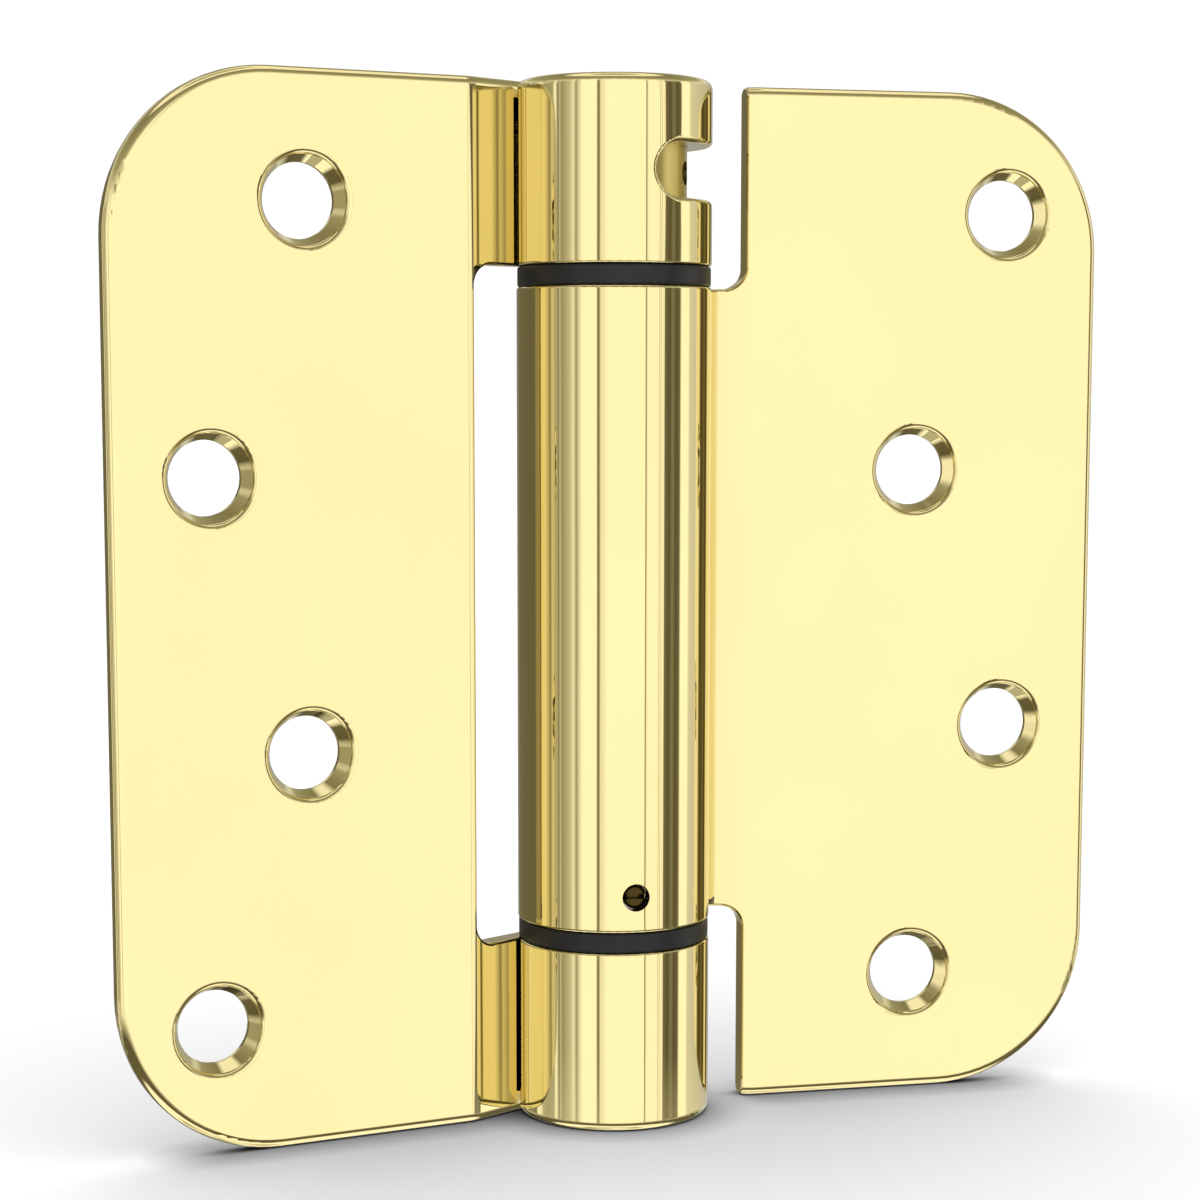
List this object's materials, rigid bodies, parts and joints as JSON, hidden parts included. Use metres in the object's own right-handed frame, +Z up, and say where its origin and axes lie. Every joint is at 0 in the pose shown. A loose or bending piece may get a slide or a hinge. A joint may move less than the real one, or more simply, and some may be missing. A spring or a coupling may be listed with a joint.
{
  "type": "spring hinge",
  "caption": "Self-closing butt hinge with radius corners, a torsion spring inside the barrel, countersunk leaves and a slotted top knuckle for setting the tension.",
  "frame": {"origin": "on the barrel's axis, at the middle of the hinge's height", "axes": "+Z up the barrel's axis towards the tension slot, -Y the way the knuckle leaf's countersunk face looks, knuckle leaf lying along -X"},
  "size_m": [0.1008, 0.0204, 0.1016],
  "materials": {
    "leaf_plating": "polished",
    "bearing_plastic": "matt",
    "collar_plating": "satin",
    "spring_steel": "satin",
    "inner_steel": "satin",
    "screw_plating": "satin"
  },
  "bodies": {
    "knuckle_leaf": {"knuckle_leaf": "leaf_plating", "lower_bearing_ring": "bearing_plastic", "collar_washer": "inner_steel", "top_cap": "leaf_plating", "bottom_cap": "leaf_plating"},
    "barrel_leaf": {"barrel_leaf": "leaf_plating", "upper_bearing_ring": "bearing_plastic", "spring_anchor": "inner_steel", "anchor_screw": "screw_plating", "torsion_spring": "spring_steel"},
    "collar": {"tension_collar": "collar_plating"}
  },
  "joints": [
    {"name": "leaf_swing", "type": "hinge", "parent": "knuckle_leaf", "child": "barrel_leaf", "pos_m": [0, 0, 0], "axis": [0, 0, -1], "range_deg": [-13.5, 166.5]},
    {"name": "tension_turn", "type": "hinge", "parent": "barrel_leaf", "child": "collar", "pos_m": [0, 0, 0.04], "axis": [0, 0, 1], "range_deg": [0, 240], "stiffness_Nm_per_rad": 0.4, "deforming": ["torsion_spring"]}
  ]
}
